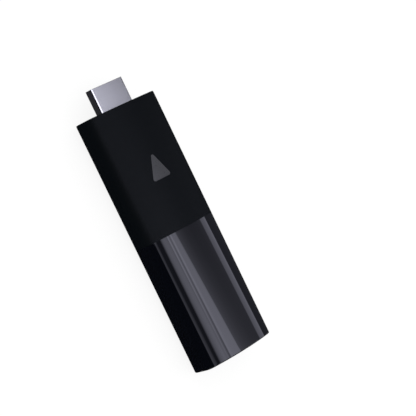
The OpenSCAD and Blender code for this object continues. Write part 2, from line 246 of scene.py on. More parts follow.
SHARPEST = 0.01 * MM
CORNER_STEPS, ROUND_STEPS, DISC_SIDES = 5, 3, 24


def slab(name, low, high, corner, edge):
    """A plate with rounded corners and rounded edges."""
    turns = [math.pi / 2 * k / ROUND_STEPS for k in range(ROUND_STEPS + 1)]
    levels = [(edge * (1 - math.cos(t)), edge * (1 - math.sin(t))) for t in turns]
    profile = [(low[2] + rise, inset) for rise, inset in levels]
    profile += [(high[2] - rise, inset) for rise, inset in reversed(levels)]
    rings = []
    for z, inset in profile:
        x0, y0, x1, y1 = low[0] + inset, low[1] + inset, high[0] - inset, high[1] - inset
        points = [Vector(p) for p in ((x1, y0), (x1, y1), (x0, y1), (x0, y0))]
        radius = max(corner - inset, SHARPEST)
        rings.append([(p.x, p.y, z) for p in rounded(points, radius, CORNER_STEPS)])
    return solid(name, rings)


def disc(name, centre, radius, start, end):
    """A short upright cylinder, for pads and holes."""
    points = arc(Vector(centre), radius, 0, 2 * math.pi, DISC_SIDES)[:-1]
    return solid(name, [[(p.x, p.y, z) for p in points] for z in (start, end)])


BOARD_CORNER = 1 * MM
BOARD_EDGE = 0.05 * MM
PAD_RADIUS = 0.4 * MM
PAD_HEIGHT = 0.03 * MM
PAD_PITCH = 3.5 * MM
PAD_INSET = 2.2 * MM
TRACK_LENGTH = 5.3 * MM
TRACK_PITCH = 0.55 * MM
TRACK_GAP = 0.07 * MM
TRACK_HEIGHT = 0.015 * MM
board_low, board_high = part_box("main_board")
board = slab("circuit_board", board_low, board_high, BOARD_CORNER, BOARD_EDGE)
pad_count = int((board_high.y - board_low.y) / PAD_PITCH) - 1
for k in range(pad_count):
    for hand in (-1, 1):
        centre = (hand * (board_high.x - PAD_INSET), board_low.y + (k + 1) * PAD_PITCH)
        pad = disc("pad", centre, PAD_RADIUS, board_high.z - PAD_HEIGHT, board_high.z + PAD_HEIGHT)
        combine(board, pad, "UNION")
mask_green = Finish("solder_mask", IOR=1.5)
along = mask_green.node("ShaderNodeMapping", {},
                        {"Vector": mask_green.place(), "Rotation": (0, 0, math.pi / 2)})
gaps = mask_green.node("ShaderNodeTexBrick", {"offset": 0.37}, {
    "Vector": along, "Scale": 1 / MM, "Mortar Size": TRACK_GAP / MM, "Mortar Smooth": 0.3,
    "Brick Width": TRACK_LENGTH / MM, "Row Height": TRACK_PITCH / MM}, "Fac")
tracks = 1 - gaps
mask_green.set("Base Color", mask_green.colour(tracks, (0.020, 0.115, 0.052), (0.010, 0.068, 0.034)))
mask_green.set("Roughness", 0.26 + 0.14 * mask_green.noise(0.5 * MM))
mask_green.relief(tracks, -TRACK_HEIGHT)
pad_gold = Finish("pad_gold", Metallic=1.0)
plated = pad_gold.noise(0.3 * MM)
pad_gold.set("Base Color", pad_gold.colour(plated, (0.78, 0.55, 0.22), (0.86, 0.64, 0.30)))
pad_gold.set("Roughness", 0.24 + 0.12 * pad_gold.noise(0.1 * MM))
fit(polish(board, second=lambda p: p.z > board_high.z + PAD_HEIGHT / 4), [mask_green, pad_gold],
    "main_board")

# ---------------------------------------------------------------------------------------
# Chips. Black epoxy moulded on a thin laminate, sawn square and soldered face down. A
# shallow dimple in the top marks the first contact.
# ---------------------------------------------------------------------------------------
BASE_CORNER = 0.1 * MM
BASE_EDGE = 0.02 * MM


def stack(name, low, high, side, base, inset, corner, edge):
    """A thin base with a rounded block on it, narrower by inset all round. They stand on the
    board's front (side 1) or hang from its rear (side -1), and fill a box between them."""
    face, top = (low.z, high.z) if side > 0 else (high.z, low.z)
    levels = sorted((face, face + side * base))
    piece = slab(name, (low.x, low.y, levels[0]), (high.x, high.y, levels[1]), BASE_CORNER, BASE_EDGE)
    levels = sorted((face + side * base / 2, top))
    block_low = (low.x + inset, low.y + inset, levels[0])
    block_high = (high.x - inset, high.y - inset, levels[1])
    combine(piece, slab("top", block_low, block_high, corner, edge), "UNION")
    return piece


LAMINATE = 0.28 * MM
CHIP_INSET = 0.12 * MM
CHIP_CORNER = 0.15 * MM
CHIP_EDGE = 0.05 * MM
DIMPLE_RADIUS = 0.45 * MM
DIMPLE_DEPTH = 0.06 * MM
DIMPLE_INSET = 1.3 * MM
epoxy = Finish("chip_epoxy", IOR=1.55)
speckle = epoxy.noise(0.05 * MM, detail=3)
epoxy.set("Base Color", epoxy.colour(speckle, (0.016, 0.016, 0.018), (0.026, 0.026, 0.028)))
epoxy.set("Roughness", 0.5 + 0.12 * epoxy.noise(1.5 * MM))
epoxy.relief(speckle, 0.004 * MM)
laminate = Finish("chip_laminate", IOR=1.5)
weave = laminate.noise(0.2 * MM)
laminate.set("Base Color", laminate.colour(weave, (0.010, 0.040, 0.022), (0.016, 0.058, 0.030)))
laminate.set("Roughness", 0.34 + 0.1 * laminate.noise(0.4 * MM))


def chip(name, node, side):
    """A chip on the board's front (side 1) or rear (side -1)."""
    low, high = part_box(node)
    piece = stack(name, low, high, side, LAMINATE, CHIP_INSET, CHIP_CORNER, CHIP_EDGE)
    face, top = (low.z, high.z) if side > 0 else (high.z, low.z)
    levels = sorted((top - side * DIMPLE_DEPTH, top + side * MM))
    reach = min(DIMPLE_INSET, (high.x - low.x) / 4)
    dimple = disc("dimple", (low.x + reach, high.y - reach), min(DIMPLE_RADIUS, reach / 3), *levels)
    combine(piece, dimple, "DIFFERENCE")
    fit(polish(piece, second=lambda p: abs(p.z - face) < LAMINATE), [epoxy, laminate], node)


chip("processor_package", "processor", 1)
chip("memory_package", "memory_chip", 1)
chip("flash_package", "flash_chip", 1)
chip("power_package", "power_chip", -1)

# ---------------------------------------------------------------------------------------
# Wireless module and clock crystal. Each is a small board or ceramic base under a drawn
# metal can with rounded shoulders, which is soldered or welded on.
# ---------------------------------------------------------------------------------------
can_metal = Finish("drawn_can", Metallic=1.0)
brushed = can_metal.noise(0.05 * MM, stretch=(1, 9, 1), detail=3)
can_tone = can_metal.noise(1.1 * MM)
can_metal.set("Base Color", can_metal.colour(can_tone, (0.55, 0.55, 0.56), (0.64, 0.63, 0.62)))
can_metal.set("Roughness", 0.26 + 0.12 * brushed)
can_metal.relief(brushed, 0.002 * MM)
white_ceramic = Finish("white_ceramic", IOR=1.6)
fired = white_ceramic.noise(0.15 * MM)
white_ceramic.set("Base Color", white_ceramic.colour(fired, (0.52, 0.49, 0.44), (0.62, 0.59, 0.54)))
white_ceramic.set("Roughness", 0.42 + 0.1 * white_ceramic.noise(0.1 * MM))
CAN_BASE = 0.3 * MM


def canned(name, node, side, inset, shoulder, base_finish):
    """A can with rounded shoulders on its base, on one side of the board."""
    low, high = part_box(node)
    piece = stack(name, low, high, side, CAN_BASE, inset, 2 * shoulder, shoulder)
    face = low.z if side > 0 else high.z
    shaded = polish(piece, second=lambda p: abs(p.z - face) < CAN_BASE)
    fit(shaded, [can_metal, base_finish], node)


canned("wireless_can", "wireless_module", -1, 0.35 * MM, 0.25 * MM, mask_green)
canned("crystal_can", "clock_crystal", 1, 0.15 * MM, 0.12 * MM, white_ceramic)

# ---------------------------------------------------------------------------------------
# Inductors and capacitors. The inductors are pressed from grey iron powder round a coil,
# with tinned ends folded under. The capacitors are fired ceramic with dipped tin ends.
# ---------------------------------------------------------------------------------------
tin = Finish("tinned_ends", Metallic=1.0)
tin.set("Base Color", tin.colour(tin.noise(0.2 * MM), (0.58, 0.58, 0.57), (0.70, 0.70, 0.69)))
tin.set("Roughness", 0.3 + 0.16 * tin.noise(0.12 * MM))
ferrite = Finish("pressed_ferrite", IOR=1.6)
powder = ferrite.noise(0.07 * MM, detail=4)
ferrite.set("Base Color", ferrite.colour(powder, (0.055, 0.056, 0.060), (0.105, 0.106, 0.110)))
ferrite.set("Roughness", 0.55 + 0.15 * powder)
ferrite.relief(powder, 0.01 * MM)
ceramic = Finish("fired_ceramic", IOR=1.6)
body_tone = ceramic.noise(0.3 * MM)
ceramic.set("Base Color", ceramic.colour(body_tone, (0.25, 0.15, 0.075), (0.34, 0.215, 0.12)))
ceramic.set("Roughness", 0.36 + 0.12 * ceramic.noise(0.15 * MM))


def separate_boxes(node):
    """The lowest and highest corners of each separate block in a node."""
    mesh = bmesh.new()
    mesh.from_mesh(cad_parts[node].data)
    waiting = set(mesh.verts)
    boxes = []
    while waiting:
        group, reached = set(), [min(waiting, key=lambda v: v.index)]
        while reached:
            vert = reached.pop()
            if vert not in group:
                group.add(vert)
                reached += [edge.other_vert(vert) for edge in vert.link_edges]
        waiting -= group
        boxes.append([Vector([most(v.co[k] for v in group) for k in range(3)]) for most in (min, max)])
    mesh.free()
    return boxes


CUT_DIGITS = 6


def with_ends(name, node, end, corner, axis):
    """Rounded blocks, cut so that a band as wide as end, at both ends of an axis, is metal."""
    boxes = separate_boxes(node)
    mesh = bmesh.new()
    for low, high in boxes:
        part = slab("part", low, high, corner, corner / 2)
        mesh.from_mesh(part.data)
        bpy.data.objects.remove(part)
    across = Vector([k == axis for k in range(3)])
    cuts = {round(p, CUT_DIGITS) for low, high in boxes for p in (low[axis] + end, high[axis] - end)}
    for place in sorted(cuts):
        everything = mesh.verts[:] + mesh.edges[:] + mesh.faces[:]
        bmesh.ops.bisect_plane(mesh, geom=everything, plane_co=place * across, plane_no=across)
    data = bpy.data.meshes.new(name)
    mesh.to_mesh(data)
    mesh.free()
    piece = bpy.data.objects.new(name, data)
    bpy.context.scene.collection.objects.link(piece)

    def metal(point):
        return any(low[axis] - end < point[axis] < low[axis] + end or
                   high[axis] - end < point[axis] < high[axis] + end for low, high in boxes)

    return polish(piece, second=metal)


inductors = with_ends("wound_inductors", "power_inductors", end=0.7 * MM, corner=0.3 * MM, axis=0)
fit(inductors, [ferrite, tin], "power_inductors")
capacitors = with_ends("chip_capacitors", "filter_capacitors", end=0.35 * MM, corner=0.12 * MM, axis=1)
fit(capacitors, [ceramic, tin], "filter_capacitors")

# ---------------------------------------------------------------------------------------
# Radio shields. Tinned sheet steel, stamped and folded. Each frame is soldered to the
# board, and its lid snaps on over it, with rows of round vents through the top.
# ---------------------------------------------------------------------------------------
tinplate = Finish("shield_tinplate", Metallic=1.0)
rolled = tinplate.noise(0.08 * MM, stretch=(1, 16, 1), detail=3)
tarnish = tinplate.noise(3 * MM)
tinplate.set("Base Color", tinplate.colour(tarnish, (0.50, 0.50, 0.51), (0.61, 0.61, 0.60)))
tinplate.set("Roughness", 0.3 + 0.16 * rolled)
tinplate.relief(rolled, 0.003 * MM)
LID_SHEET = 0.2 * MM
LID_CORNER = 0.5 * MM
LID_FOLD = 0.1 * MM
LID_FOLD_EDGE = 0.02 * MM
VENT_RADIUS = 0.5 * MM
VENT_PITCH = 4 * MM


def shield_lid(name, node, side):
    """An open tray of sheet over a frame on the board's front (side 1) or rear (side -1)."""
    low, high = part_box(node)
    piece = slab(name, low, high, LID_CORNER, LID_SHEET / 2)
    bottom, top = (low.z, high.z) if side > 0 else (high.z, low.z)
    levels = sorted((bottom - side * LID_SHEET, top - side * LID_SHEET))
    inside_low = (low.x + LID_SHEET, low.y + LID_SHEET, levels[0])
    inside_high = (high.x - LID_SHEET, high.y - LID_SHEET, levels[1])
    combine(piece, slab("inside", inside_low, inside_high, LID_FOLD, LID_FOLD_EDGE), "DIFFERENCE")
    count = int((high.y - low.y) / VENT_PITCH) - 1
    middle = (low.y + high.y) / 2
    levels = sorted((top - 2 * side * LID_SHEET, top + side * LID_SHEET))
    for k in range(count):
        for x in (-VENT_PITCH, VENT_PITCH):
            centre = (x, middle + (k - (count - 1) / 2) * VENT_PITCH)
            combine(piece, disc("vent", centre, VENT_RADIUS, *levels), "DIFFERENCE")
    fit(polish(piece), [tinplate], node)


shield_lid("front_lid", "front_shield_lid", 1)
shield_lid("rear_lid", "rear_shield_lid", -1)
coat("front_shield_frame", tinplate)
coat("rear_shield_frame", tinplate)

# ---------------------------------------------------------------------------------------
# Gap pads. Soft blue silicone filled with ceramic powder, cut from sheet and pressed
# between the processor, the lids and the heat spreaders, so that their edges bulge.
# ---------------------------------------------------------------------------------------
silicone = Finish("gap_silicone", IOR=1.42)
filler = silicone.noise(0.12 * MM, detail=4)
silicone.set("Base Color", silicone.colour(filler, (0.24, 0.40, 0.52), (0.36, 0.53, 0.64)))
silicone.set("Roughness", 0.62 + 0.2 * silicone.noise(0.8 * MM))
silicone.relief(filler, 0.02 * MM)
GAP_PAD_CORNER = 0.6 * MM
BULGE_SHARE = 0.45
for name, node in (("processor_silicone", "processor_pad"), ("front_silicone", "front_gap_pad"),
                   ("rear_silicone", "rear_gap_pad")):
    low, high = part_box(node)
    pad = slab(name, low, high, GAP_PAD_CORNER, BULGE_SHARE * (high.z - low.z))
    fit(polish(pad), [silicone], node)

# ---------------------------------------------------------------------------------------
# Heat spreaders. Aluminium plates with a brushed grain along the stick, blanked from sheet
# and deburred. The housing's ribs press them on to the gap pads.
# ---------------------------------------------------------------------------------------
aluminium = Finish("brushed_aluminium", Metallic=1.0)
hairline = aluminium.noise(0.04 * MM, stretch=(1, 60, 1), detail=4)
aluminium.set("Base Color", aluminium.colour(hairline, (0.70, 0.70, 0.71), (0.80, 0.80, 0.81)))
aluminium.set("Roughness", 0.28 + 0.18 * hairline)
aluminium.relief(hairline, 0.004 * MM)
PLATE_CORNER = 1.2 * MM
PLATE_EDGE = 0.12 * MM
for name, node in (("front_plate", "front_heat_spreader"), ("rear_plate", "rear_heat_spreader")):
    low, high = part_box(node)
    fit(polish(slab(name, low, high, PLATE_CORNER, PLATE_EDGE)), [aluminium], node)

# ---------------------------------------------------------------------------------------
# Antennas. Two stamped strips of nickel-plated steel, bent over at the top and soldered
# upright near the board's far corners.
# ---------------------------------------------------------------------------------------
spring_nickel = Finish("antenna_nickel", Metallic=1.0)
grain = spring_nickel.noise(0.06 * MM, stretch=(1, 10, 1), detail=3)
spring_nickel.set("Base Color", spring_nickel.colour(grain, (0.60, 0.58, 0.53), (0.70, 0.68, 0.62)))
spring_nickel.set("Roughness", 0.22 + 0.14 * grain)
for node in ("antenna_left", "antenna_right"):
    coat(node, spring_nickel)

# ---------------------------------------------------------------------------------------
# Plug. A shell of nickel-plated sheet steel, folded round a moulded black core and closed
# by a seam on its narrow side. Two rows of gold-plated contacts lie in the core's slot.
# ---------------------------------------------------------------------------------------
plug_low, plug_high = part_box("plug_shell")
plug_z = (plug_low.z + plug_high.z) / 2
PLUG_SLOPE = 0.9 * MM
PLUG_RADIUS = 0.6 * MM
PLUG_SHEET = 0.3 * MM
PLUG_LIP = 0.12 * MM
SEAM_WIDTH = 0.05 * MM
SEAM_DEPTH = 0.1 * MM
LEAST_BEND = 0.1 * MM
BEND_STEPS = 8
# How much a sloped corner shrinks for each millimetre that its outline moves in.
SLOPE_SHARE = 2 - math.sqrt(2)
OVERSHOOT = 1.01


def plug_outline(inset):
    """The plug's outline, moved in by inset, with its sloped corners towards the back."""
    x = plug_high.x - inset
    top = (plug_high.z - plug_low.z) / 2 - inset
    slope = PLUG_SLOPE - inset * SLOPE_SHARE
    points = [(x, top), (-x, top), (-x, slope - top), (slope - x, -top),
              (x - slope, -top), (x, slope - top)]
    return rounded([Vector(p) for p in points], max(PLUG_RADIUS - inset, LEAST_BEND), BEND_STEPS)


def plug_loft(name, stations):
    """A length of the plug's outline, through (y, inset) stations."""
    rings = [[(p.x, y, plug_z + p.y) for p in plug_outline(inset)] for y, inset in stations]
    return solid(name, rings)


def mouth_lips(end, radius, sheet, steps):
    """Stations round the outer and the inner edge of a sheet metal mouth. The inner ones end
    just past it, for a clean cut."""
    turns = [math.pi / 2 * k / steps for k in range(steps + 1)]
    outer = [(end - radius * (1 - math.sin(t)), radius * (1 - math.cos(t))) for t in turns]
    inner = [(end - radius * (1 - OVERSHOOT * math.sin(t)), sheet - radius * (1 - math.cos(t)))
             for t in turns]
    return outer, inner


lip, inner_lip = mouth_lips(plug_high.y, PLUG_LIP, PLUG_SHEET, 4)
plug_metal = plug_loft("plug_metal", [(plug_low.y, 0)] + lip)
combine(plug_metal, plug_loft("hollow", [(plug_low.y - MM, PLUG_SHEET)] + inner_lip), "DIFFERENCE")
combine(plug_metal, block("seam", (-SEAM_WIDTH / 2, plug_low.y - MM, plug_low.z - MM),
                          (SEAM_WIDTH / 2, plug_high.y + MM, plug_low.z + SEAM_DEPTH)), "DIFFERENCE")
nickel = Finish("plug_nickel", Metallic=1.0)
drawn = nickel.noise(0.12 * MM, stretch=(1, 14, 1), detail=3)
nickel_tone = nickel.noise(2.5 * MM)
nickel.set("Base Color", nickel.colour(nickel_tone, (0.71, 0.71, 0.70), (0.75, 0.75, 0.73)))
nickel.set("Roughness", 0.11 + 0.07 * drawn)
nickel.relief(drawn, 0.002 * MM)
fit(polish(plug_metal), [nickel], "plug_shell")
coat("plug_back_cover", nickel)

moulded_black = Finish("moulded_black", IOR=1.5)
haze = moulded_black.noise(0.4 * MM)
moulded_black.set("Base Color", moulded_black.colour(haze, (0.011, 0.011, 0.012), (0.017, 0.017, 0.018)))
moulded_black.set("Roughness", 0.36 + 0.14 * haze)
moulded_black.relief(moulded_black.noise(0.06 * MM), 0.004 * MM)
coat("plug_insulator", moulded_black)

contact_gold = Finish("contact_gold", Metallic=1.0)
plating = contact_gold.noise(0.08 * MM, stretch=(1, 6, 1))
contact_gold.set("Base Color", contact_gold.colour(plating, (0.80, 0.56, 0.21), (0.89, 0.66, 0.30)))
contact_gold.set("Roughness", 0.18 + 0.12 * plating)
coat("plug_contacts", contact_gold)

cradle_grey = Finish("cradle_grey", IOR=1.5)
cloudy = cradle_grey.noise(1.5 * MM)
cradle_grain = cradle_grey.noise(0.1 * MM)
cradle_grey.set("Base Color", cradle_grey.colour(cloudy, (0.060, 0.060, 0.064), (0.085, 0.085, 0.090)))
cradle_grey.set("Roughness", 0.46 + 0.1 * cradle_grain)
cradle_grey.relief(cradle_grain, 0.01 * MM)
coat("plug_cradle", cradle_grey)

# ---------------------------------------------------------------------------------------
# Power socket. A steel shell, rolled with two sloped corners and soldered to the board.
# A moulded tongue stands in it, and five gold-plated contacts lie on the tongue.
# ---------------------------------------------------------------------------------------
socket_low, socket_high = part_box("power_socket_shell")
socket_y = (socket_low.y + socket_high.y) / 2
socket_z = (socket_low.z + socket_high.z) / 2
SOCKET_SLOPE = 0.9 * MM
SOCKET_RADIUS = 0.5 * MM
SOCKET_SHEET = 0.25 * MM
SOCKET_LIP = 0.1 * MM


def socket_outline(inset):
    """The power socket's outline, moved in by inset, with its sloped corners towards the board."""
    y = (socket_high.y - socket_low.y) / 2 - inset
    z = (socket_high.z - socket_low.z) / 2 - inset
    slope = SOCKET_SLOPE - inset * SLOPE_SHARE
    points = [(y, -z), (y, z - slope), (y - slope, z), (slope - y, z), (-y, z - slope), (-y, -z)]
    return rounded([Vector(p) for p in points], max(SOCKET_RADIUS - inset, LEAST_BEND), BEND_STEPS)


def socket_loft(name, stations):
    """A depth of the socket's outline, through (x, inset) stations."""
    rings = [[(x, socket_y + p.x, socket_z + p.y) for p in socket_outline(inset)]
             for x, inset in stations]
    return solid(name, rings)


lip, inner_lip = mouth_lips(socket_high.x, SOCKET_LIP, SOCKET_SHEET, 3)
socket_metal = socket_loft("socket_metal", [(socket_low.x, 0)] + lip)
hollow = socket_loft("hollow", [(socket_low.x - MM, SOCKET_SHEET)] + inner_lip)
combine(socket_metal, hollow, "DIFFERENCE")
fit(polish(socket_metal), [can_metal], "power_socket_shell")
coat("power_socket_tongue", moulded_black)
coat("power_socket_contacts", contact_gold)

# ---------------------------------------------------------------------------------------
# Housing. Two moulded halves of black plastic, which meet on the long sides and snap together
# over a lip. The mould is finely textured as far as the middle from the plug, and polished
# like a mirror from there on, so that a crisp line parts the two finishes.
# ---------------------------------------------------------------------------------------
front_low, front_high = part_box("front_shell")
rear_low, rear_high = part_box("rear_shell")
far_end = front_low.y
plug_end = front_high.y
seam_z = front_low.z
finish_line = (far_end + plug_end) / 2
half_width = front_high.x
half_thick = (front_high.z - rear_low.z) / 2
CROWN = 2.8 * MM
SIDE_BOW = 0.3 * MM
EDGE_RADIUS = 3 * MM
END_RADIUS = 0.4 * MM
WALL = 1.5 * MM
LIP_HEIGHT = rear_high.z - seam_z
LIP_GAP = 0.1 * MM
PARTING_GAP = 0.03 * MM
LEAST_RADIUS = 0.4 * MM
PLUG_GAP = 0.15 * MM
SOCKET_GAP = 0.25 * MM
SOCKET_SET_BACK = 0.6 * MM
FACE_STEPS, EDGE_STEPS, SIDE_STEPS, END_STEPS = 28, 14, 5, 6
RING_SPACING = 1.6 * MM
face_radius = (half_width ** 2 + CROWN ** 2) / (2 * CROWN)
side_radius = (half_thick ** 2 + SIDE_BOW ** 2) / (2 * SIDE_BOW)


def housing_outline(inset):
    """The housing's cross-section, moved in by inset: two crowned faces and two bowed sides,
    joined by round edges. Each edge's arc touches the arc of its face and that of its side."""
    radius = max(EDGE_RADIUS - inset, LEAST_RADIUS)
    face_centre = Vector((0, half_thick - face_radius))
    side_centre = Vector((half_width - side_radius, 0))
    face_reach = face_radius - inset - radius
    side_reach = side_radius - inset - radius
    apart = (side_centre - face_centre).length
    along = (face_reach ** 2 - side_reach ** 2 + apart ** 2) / (2 * apart)
    off = math.sqrt(face_reach ** 2 - along ** 2)
    way = (side_centre - face_centre) / apart
    corner = face_centre + along * way + off * Vector((way.y, -way.x))
    side_turn = math.atan2(corner.y, corner.x - side_centre.x)
    face_turn = math.atan2(corner.y - face_centre.y, corner.x)
    quarter = arc(side_centre, side_radius - inset, 0, side_turn, SIDE_STEPS)[:-1]
    quarter += arc(corner, radius, side_turn, face_turn, EDGE_STEPS)
    quarter += arc(face_centre, face_radius - inset, face_turn, math.pi / 2, FACE_STEPS)[1:]
    left = [Vector((-p.x, p.y)) for p in reversed(quarter[:-1])]
    half = quarter + left
    return half + [Vector((p.x, -p.y)) for p in reversed(half[1:-1])]


def housing_slab(name, inset, start, end):
    """A plain length of the housing's cross-section."""
    points = housing_outline(inset)
    return solid(name, [[(p.x, y, seam_z + p.y) for p in points] for y in (start, end)])


def housing_body():
    """The closed outside of the housing, with its rounded end edges."""
    turns = [math.pi / 2 * k / END_STEPS for k in range(END_STEPS + 1)]
    near = [(END_RADIUS * (1 - math.cos(t)), END_RADIUS * (1 - math.sin(t))) for t in turns]
    length = plug_end - far_end
    count = round(length / RING_SPACING)
    middle = [(END_RADIUS + (length - 2 * END_RADIUS) * k / count, 0) for k in range(1, count)]
    stations = near + middle + [(length - y, inset) for y, inset in reversed(near)]
    rings = [[(p.x, far_end + y, seam_z + p.y) for p in housing_outline(inset)]
             for y, inset in stations]
    return solid("housing_body", rings)


def textured_finish():
    """Black plastic with the fine even grain of a spark-eroded mould."""
    finish = Finish("textured_plastic", IOR=1.5, Specular_IOR_Level=0.1)
    grain = finish.noise(0.11 * MM, detail=3)
    flow = finish.noise(9 * MM)
    finish.set("Base Color", finish.colour(0.7 * flow + 0.3 * grain, (0.0017, 0.0029, 0.0042),
                                           (0.0022, 0.0034, 0.0049)))
    finish.set("Roughness", 0.36 + 0.05 * flow + 0.05 * grain)
    finish.relief(grain, 0.012 * MM)
    return finish


def polished_finish():
    """The same plastic from a mirror-polished mould, with faint handling smears."""
    finish = Finish("polished_plastic", IOR=1.5)
    smear = finish.noise(5 * MM, stretch=(1, 2, 1))
    finish.set("Base Color", finish.colour(smear, (0.0012, 0.0016, 0.0030), (0.0016, 0.0020, 0.0035)))
    finish.set("Roughness", 0.018 + 0.016 * smear)
    finish.relief(finish.noise(14 * MM), 0.006 * MM)
    return finish


EMBLEM_TIP = 0.7 * MM
EMBLEM_GAP = 0.04 * MM
TIP_STEPS = 10


def emblem_prism(grow):
    """The play triangle's rounded outline, pointing at the plug, from its underside to above
    the front face."""
    low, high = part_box("emblem_inlay")
    x, y = high.x - EMBLEM_TIP, (high.y - low.y) / 2 - EMBLEM_TIP
    centre = Vector((0, (low.y + high.y) / 2))
    tips = [Vector((x, -y)), Vector((0, y)), Vector((-x, -y))]
    lean = math.atan2(x, 2 * y)
    turns = [(-math.pi / 2, lean), (lean, math.pi - lean), (math.pi - lean, 3 * math.pi / 2)]
    outline = []
    for tip, (start, end) in zip(tips, turns):
        outline += arc(centre + tip, EMBLEM_TIP + grow, start, end, TIP_STEPS)
    return solid("emblem_prism", [[(p.x, p.y, z) for p in outline] for z in (low.z, high.z + MM)])


# How far a cutting block goes past the housing.
REACH = 5 * MM
CHAMFER = 0.15 * MM
LEDGE_WIDTH = 1.4 * MM
LEDGE_LENGTH = 3 * MM
RIB_WIDTH = 1 * MM
RIB_SPACING = 11 * MM


def add_supports(shell, side):
    """Joins on the ledges that hold the board's edges and the ribs over a heat spreader."""
    plate_low, plate_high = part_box("front_heat_spreader" if side > 0 else "rear_heat_spreader")
    outer_z = seam_z + side * (half_thick + REACH)
    board_z = board_high.z if side > 0 else board_low.z
    plate_z = plate_high.z if side > 0 else plate_low.z
    middle_y = (board_low.y + board_high.y) / 2
    end_inset = 2 * LEDGE_LENGTH
    boxes = []
    for y in (board_high.y - end_inset, middle_y, board_low.y + end_inset):
        for hand in (-1, 1):
            xs = sorted((hand * (board_high.x - LEDGE_WIDTH), hand * (half_width + REACH)))
            boxes.append((xs, (y - LEDGE_LENGTH / 2, y + LEDGE_LENGTH / 2), board_z))
    for x in (-RIB_SPACING / 2, RIB_SPACING / 2):
        ys = (plate_low.y + RIB_WIDTH, plate_high.y - RIB_WIDTH)
        boxes.append(((x - RIB_WIDTH / 2, x + RIB_WIDTH / 2), ys, plate_z))
    for xs, ys, start_z in boxes:
        low, high = zip(xs, ys, sorted((start_z, outer_z)))
        inner = housing_slab("inner", WALL / 2, far_end + WALL / 2, plug_end - WALL / 2)
        combine(shell, combine(block("support", low, high), inner, "INTERSECT"), "UNION")


def housing_half(name, side):
    """One half of the housing: side is 1 for the front and -1 for the rear."""
    shell = housing_body()
    shell.name = name

    def between(part, start_z, end_z):
        """Keeps what lies between two heights."""
        levels = sorted((start_z, end_z))
        low = (-half_width - REACH, far_end - REACH, levels[0])
        high = (half_width + REACH, plug_end + REACH, levels[1])
        return combine(part, block("kept_part", low, high), "INTERSECT")

    between(shell, seam_z + side * PARTING_GAP, seam_z + side * (half_thick + REACH))
    lip_start, lip_end = far_end + WALL / 2, plug_end - WALL / 2
    if side < 0:
        lip = housing_slab("lip", WALL / 2, lip_start, lip_end)
        combine(shell, between(lip, seam_z - WALL, seam_z + LIP_HEIGHT), "UNION")
    combine(shell, housing_slab("cavity", WALL, far_end + WALL, plug_end - WALL), "DIFFERENCE")
    add_supports(shell, side)
    if side > 0:
        groove = housing_slab("groove", WALL / 2 - LIP_GAP, lip_start - LIP_GAP, lip_end + LIP_GAP)
        combine(shell, between(groove, seam_z - WALL, seam_z + LIP_HEIGHT + LIP_GAP), "DIFFERENCE")
        combine(shell, emblem_prism(EMBLEM_GAP), "DIFFERENCE")
    else:
        mouth = socket_high.x + SOCKET_SET_BACK
        stations = [(socket_low.x - SOCKET_GAP, -SOCKET_GAP), (mouth - CHAMFER, -SOCKET_GAP),
                    (mouth + REACH, -SOCKET_GAP - CHAMFER - REACH)]
        combine(shell, socket_loft("socket_cut", stations), "DIFFERENCE")
    stations = [(plug_end - 2 * WALL, -PLUG_GAP), (plug_end - CHAMFER, -PLUG_GAP),
                (plug_end + WALL, -PLUG_GAP - CHAMFER - WALL)]
    combine(shell, plug_loft("plug_cut", stations), "DIFFERENCE")
    mesh = bmesh.new()
    mesh.from_mesh(shell.data)
    everything = mesh.verts[:] + mesh.edges[:] + mesh.faces[:]
    bmesh.ops.bisect_plane(mesh, geom=everything, plane_co=(0, finish_line, 0), plane_no=(0, 1, 0))
    mesh.to_mesh(shell.data)
    mesh.free()
    return polish(shell, second=lambda p: p.y < finish_line)


housing_plastic = [textured_finish(), polished_finish()]
fit(housing_half("front_half", 1), housing_plastic, "front_shell")
fit(housing_half("rear_half", -1), housing_plastic, "rear_shell")

# ---------------------------------------------------------------------------------------
# Emblem. A play triangle of satin grey plastic, moulded on its own. It is pressed into a
# pocket in the front half, flush with the crown of its face.
# ---------------------------------------------------------------------------------------
emblem = combine(emblem_prism(0), housing_body(), "INTERSECT")
emblem.name = "play_emblem"
emblem_grey = Finish("emblem_grey")
satin = emblem_grey.noise(2 * MM)
emblem_grey.set("Base Color", emblem_grey.colour(satin, (0.036, 0.037, 0.042), (0.042, 0.043, 0.049)))
emblem_grey.set("Roughness", 0.26 + 0.04 * emblem_grey.noise(0.3 * MM))
fit(polish(emblem), [emblem_grey], "emblem_inlay")

# ---------------------------------------------------------------------------------------
# Studio. A wide pale floor of lit paper under an even white sky. Soft boxes and strips hang
# overhead and show only as reflections, and polished surfaces don't mirror the floor.
# ---------------------------------------------------------------------------------------
FLOOR_REACH = 3000 * MM
FLOOR_DEPTH = 10 * MM
floor_low = (-FLOOR_REACH, -FLOOR_REACH, -FLOOR_DEPTH)
floor = block("floor", floor_low, (FLOOR_REACH, FLOOR_REACH, rear_low.z))
paper = Finish("floor_paper", Roughness=0.9, Specular_IOR_Level=0.0, Emission_Color=(1, 1, 1),
               Emission_Strength=0.87)
fibre = paper.noise(40 * MM)
paper.set("Base Color", paper.colour(fibre, (0.14, 0.14, 0.14), (0.16, 0.16, 0.16)))
floor.data.materials.append(paper.material)
floor.visible_glossy = False

world = bpy.data.worlds.new("sky")
world.use_nodes = True
bpy.context.scene.world = world
